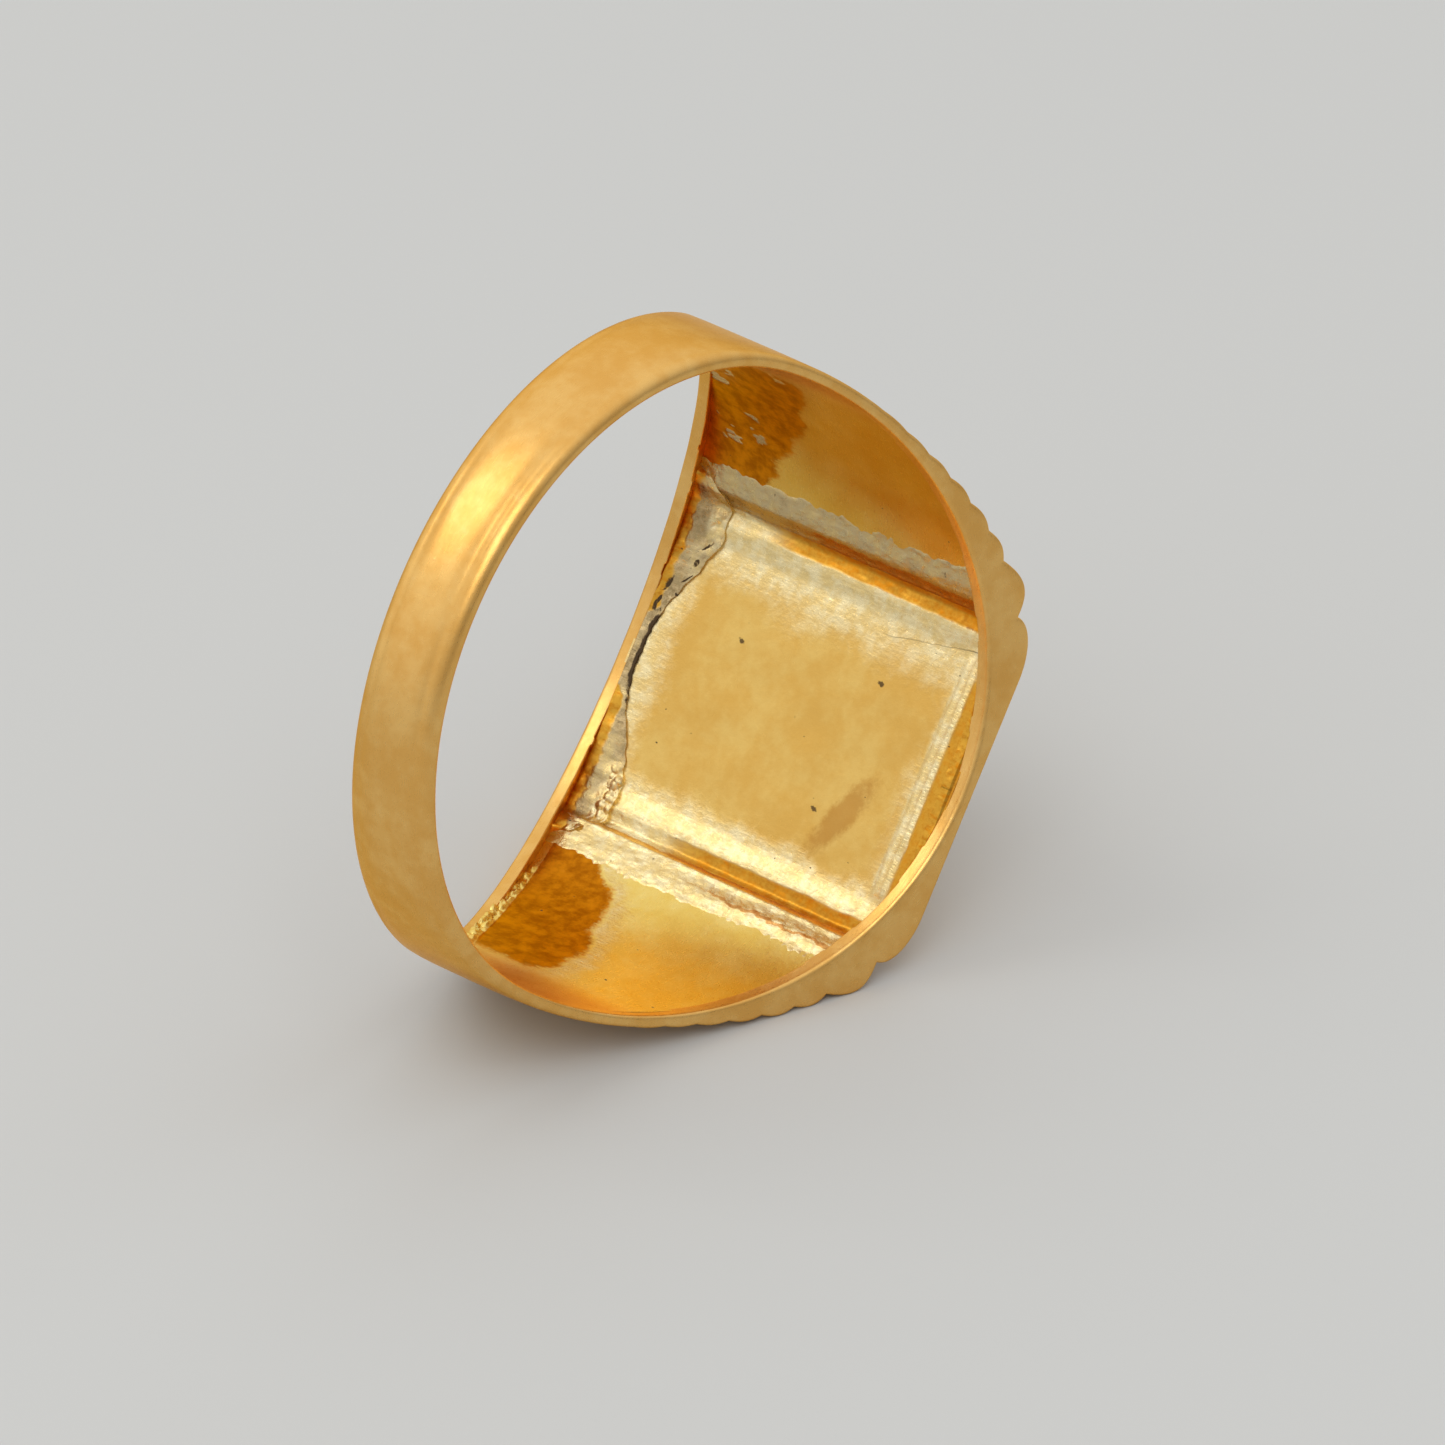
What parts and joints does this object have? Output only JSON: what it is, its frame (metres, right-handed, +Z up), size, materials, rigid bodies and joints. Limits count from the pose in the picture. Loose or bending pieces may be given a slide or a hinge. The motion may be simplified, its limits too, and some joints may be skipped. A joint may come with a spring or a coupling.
{
  "type": "signet ring",
  "caption": "Hollow gold signet ring with a flat bare rectangular table, fluted shoulders and a plain tapering shank.",
  "frame": {"origin": "on the surface the ring lies on, under the middle of its bounding box", "axes": "+Z up as the ring lies on one shoulder; Y along the finger, through the hole; the head points to +X and down"},
  "size_m": [0.021, 0.0132, 0.0204],
  "materials": {
    "table_gold": "satin 22-carat gold, pale and soldered underneath",
    "shoulder_gold": "satin 22-carat gold, orange inside where it was fired",
    "shank_gold": "satin polished 22-carat gold",
    "wall_gold": "satin 22-carat gold",
    "pale_solder": "pale gold solder, lumpy and slightly oxidised"
  },
  "bodies": {
    "root": {"table_plate": "table_gold", "step_rail_upper": "shoulder_gold", "step_rail_lower": "shoulder_gold", "shoulder_upper": "shoulder_gold", "shoulder_lower": "shoulder_gold", "seam_solder_upper": "pale_solder", "seam_solder_lower": "pale_solder", "shank_band": "shank_gold", "side_wall_front": "wall_gold", "side_wall_back": "wall_gold", "corner_solder_upper_front": "pale_solder", "corner_solder_upper_back": "pale_solder", "corner_solder_lower_front": "pale_solder", "corner_solder_lower_back": "pale_solder"}
  },
  "joints": []
}
